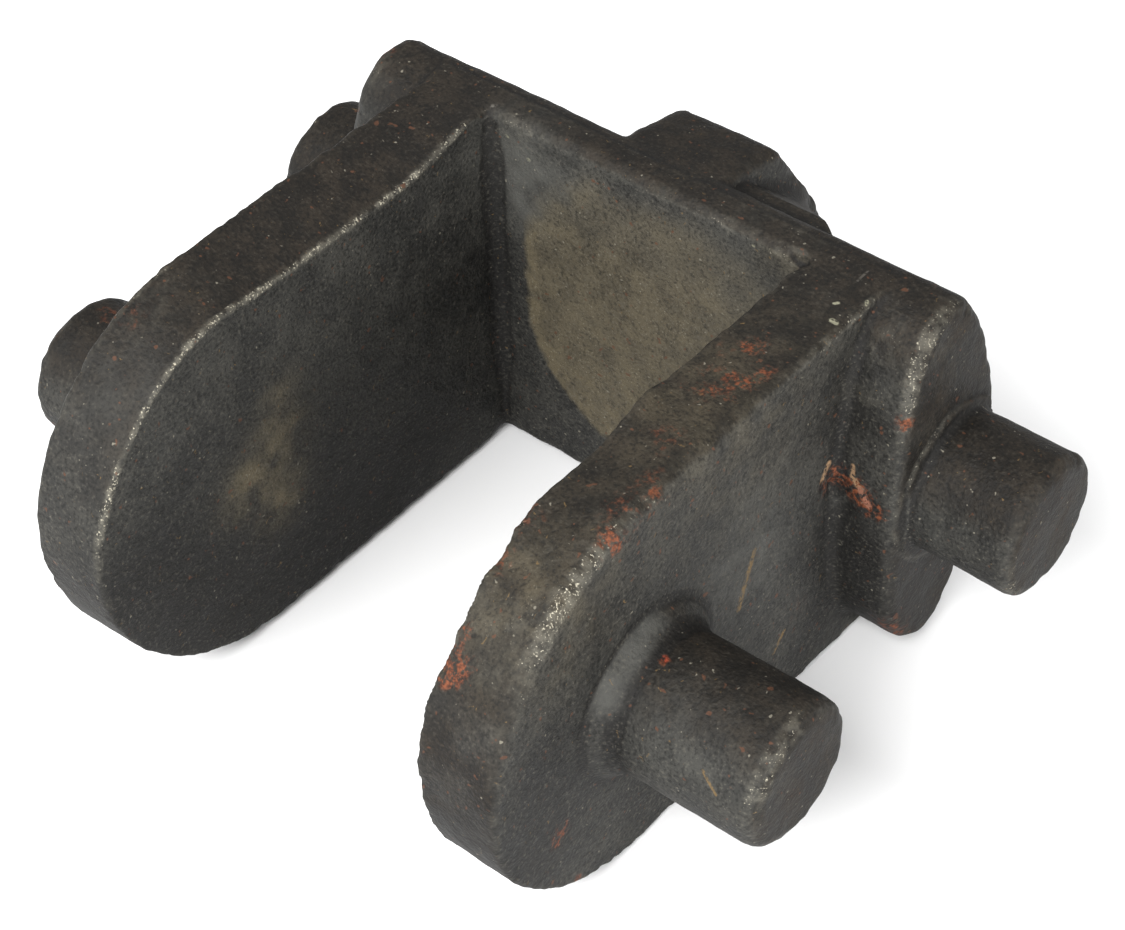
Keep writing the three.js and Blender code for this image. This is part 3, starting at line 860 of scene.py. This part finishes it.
points, quads, bend = build_surface()
normals = vertex_normals(points, quads)
coats = paint(points, normals, bend)
face_region = region_of(points[quads].mean(1))
slots = {row["node"]: row["material_slot"] for row in frame["record"]["subparts"]}
materials = {name: cast_iron(name) for name in ("bar_iron", "lug_iron", "cheek_iron", "pin_iron")}
for number, node in enumerate(REGIONS):
    piece = make_piece("cast_" + node, points, quads[face_region == number], normals, coats)
    piece.data.materials.append(materials[slots[node]])
    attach(piece, "root")
    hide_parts(node)

# ---------------------------------------------------------------- floor, lights and camera


FLOOR_REACH = 3.0
FLOOR_DROP = 0.001                      # the rough skin's lowest lumps hang a little below the CAD model


def make_floor():
    mesh = bpy.data.meshes.new("floor")
    below = cad_low.z - FLOOR_DROP
    corners = [(x * FLOOR_REACH, y * FLOOR_REACH, below) for x, y in ((-1, -1), (1, -1), (1, 1), (-1, 1))]
    mesh.from_pydata(corners, [], [(0, 1, 2, 3)])
    floor = bpy.data.objects.new("floor", mesh)
    bpy.context.scene.collection.objects.link(floor)
    material = bpy.data.materials.new("floor_white")
    n = Nodes(material)
    shader = n.add("ShaderNodeBsdfPrincipled", {"Base Color": (0.86, 0.86, 0.86, 1), "Roughness": 0.9})
    output = n.add("ShaderNodeOutputMaterial")
    n.tree.links.new(shader.outputs[0], output.inputs["Surface"])
    mesh.materials.append(material)


LIT_POINT = Vector((0, 0, 0.03))        # the middle of the casting


def towards(azimuth, elevation):
    """A direction in degrees: azimuth 0 is the open front, and 90 is the right."""
    a, e = math.radians(azimuth), math.radians(elevation)
    return Vector((math.sin(a) * math.cos(e), -math.cos(a) * math.cos(e), math.sin(e)))


def area_light(name, azimuth, elevation, distance, size, watts):
    """A white rectangular lamp that faces the middle of the casting."""
    back = towards(azimuth, elevation)
    data = bpy.data.lights.new(name, "AREA")
    data.shape = "RECTANGLE"
    data.size, data.size_y = size
    data.energy = watts
    lamp = bpy.data.objects.new(name, data)
    lamp.location = LIT_POINT + back * distance
    lamp.rotation_mode = "QUATERNION"
    lamp.rotation_quaternion = (-back).to_track_quat("-Z", "Y")
    bpy.context.scene.collection.objects.link(lamp)


def make_lights():
    world = bpy.data.worlds.new("studio")
    bpy.context.scene.world = world
    world.use_nodes = True
    background = world.node_tree.nodes["Background"]
    background.inputs["Color"].default_value = (1, 1, 1, 1)
    background.inputs["Strength"].default_value = 0.52
    area_light("front_key", 4, 44, 0.9, (0.7, 0.5), 15)
    area_light("left_fill", -52, 28, 0.9, (0.6, 0.4), 3)
    area_light("right_low", 72, 16, 0.9, (0.6, 0.3), 8)
    area_light("back_soft", 200, 60, 1.1, (0.8, 0.8), 2)


# The view: which way the camera looks, in degrees, and where its lens is from the rear pins' axis.
VIEW_AZIMUTH, VIEW_ELEVATION, VIEW_ROLL = 39.864, 43.697, -1.262
LENS_FROM_REAR_AXIS = (0.1707, -0.2261, 0.2456)
FOCAL_WIDTHS = 2.447                    # focal length over the width of the picture


def make_camera():
    back = towards(VIEW_AZIMUTH, VIEW_ELEVATION)
    right = towards(VIEW_AZIMUTH + 90, 0)
    up = back.cross(right)
    roll = math.radians(VIEW_ROLL)
    cos_r, sin_r = math.cos(roll), math.sin(roll)
    right, up = right * cos_r + up * sin_r, up * cos_r - right * sin_r
    data = bpy.data.cameras.new("camera")
    data.sensor_width = 36
    data.lens = data.sensor_width * FOCAL_WIDTHS
    data.clip_start, data.clip_end = 0.01, 10
    camera = bpy.data.objects.new("camera", data)
    turn = Matrix((right, up, back)).transposed().to_4x4()
    camera.matrix_world = Matrix.Translation(
        Vector((0, REAR_Y * MM, REAR_Z * MM)) + Vector(LENS_FROM_REAR_AXIS)) @ turn
    bpy.context.scene.collection.objects.link(camera)
    bpy.context.scene.camera = camera


make_floor()
make_lights()
make_camera()
bpy.context.scene.view_settings.view_transform = "Standard"
